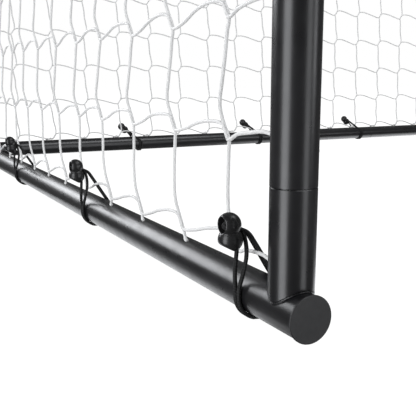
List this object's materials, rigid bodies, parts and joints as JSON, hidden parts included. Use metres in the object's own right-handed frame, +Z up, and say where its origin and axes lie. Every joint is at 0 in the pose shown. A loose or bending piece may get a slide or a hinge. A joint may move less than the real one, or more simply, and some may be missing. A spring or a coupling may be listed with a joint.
{
  "type": "pitch back rebounder net frame",
  "caption": "Free-standing box of plug-together black steel tubes with white knotless netting, tied on by black ball toggles with elastic loops.",
  "frame": {"origin": "On the ground, at the centre of the whole part's footprint; the flat undersides of the elastic loops that the frame stands on lie in z = 0.", "axes": "+X runs along the mouth from the left post to the right post as seen from the playing side, +Y from the mouth to the back, +Z up."},
  "size_m": [3.0446, 1.6582, 2.0041],
  "materials": {
    "powder_coated_steel": "satin black powder coat",
    "zinc_plated_steel": "bright zinc plate",
    "end_cap_plastic": "moulded matte dark grey",
    "net_twine": "twisted white polyethylene twine",
    "toggle_plastic": "moulded satin black",
    "elastic_cord": "braided black cover over rubber"
  },
  "bodies": {
    "root": {"left_ground_tube": "powder_coated_steel", "right_ground_tube": "powder_coated_steel", "left_top_tube": "powder_coated_steel", "right_top_tube": "powder_coated_steel", "left_front_post_stub": "powder_coated_steel", "right_front_post_stub": "powder_coated_steel", "left_rear_post_stub": "powder_coated_steel", "right_rear_post_stub": "powder_coated_steel", "left_front_top_stub": "powder_coated_steel", "right_front_top_stub": "powder_coated_steel", "left_rear_top_stub": "powder_coated_steel", "right_rear_top_stub": "powder_coated_steel", "left_crossbar_stub": "powder_coated_steel", "right_crossbar_stub": "powder_coated_steel", "left_rear_ground_stub": "powder_coated_steel", "right_rear_ground_stub": "powder_coated_steel", "left_rear_header_stub": "powder_coated_steel", "right_rear_header_stub": "powder_coated_steel", "left_front_post": "powder_coated_steel", "right_front_post": "powder_coated_steel", "left_rear_post": "powder_coated_steel", "right_rear_post": "powder_coated_steel", "crossbar_left": "powder_coated_steel", "crossbar_right": "powder_coated_steel", "rear_ground_bar_left": "powder_coated_steel", "rear_ground_bar_right": "powder_coated_steel", "rear_header_left": "powder_coated_steel", "rear_header_right": "powder_coated_steel", "post_spigots": "zinc_plated_steel", "bar_spigots": "zinc_plated_steel", "locking_screws": "zinc_plated_steel", "rivet_nuts": "zinc_plated_steel", "ground_end_caps": "end_cap_plastic", "top_end_caps": "end_cap_plastic", "left_side_net": "net_twine", "right_side_net": "net_twine", "rear_net": "net_twine", "roof_net": "net_twine", "left_ground_toggles": "toggle_plastic", "right_ground_toggles": "toggle_plastic", "rear_ground_toggles": "toggle_plastic", "front_post_toggles": "toggle_plastic", "rear_post_toggles": "toggle_plastic", "left_top_toggles": "toggle_plastic", "right_top_toggles": "toggle_plastic", "rear_header_toggles": "toggle_plastic", "crossbar_toggles": "toggle_plastic", "left_ground_loops": "elastic_cord", "right_ground_loops": "elastic_cord", "rear_ground_loops": "elastic_cord", "front_post_loops": "elastic_cord", "rear_post_loops": "elastic_cord", "left_top_loops": "elastic_cord", "right_top_loops": "elastic_cord", "rear_header_loops": "elastic_cord", "crossbar_loops": "elastic_cord"}
  },
  "joints": []
}
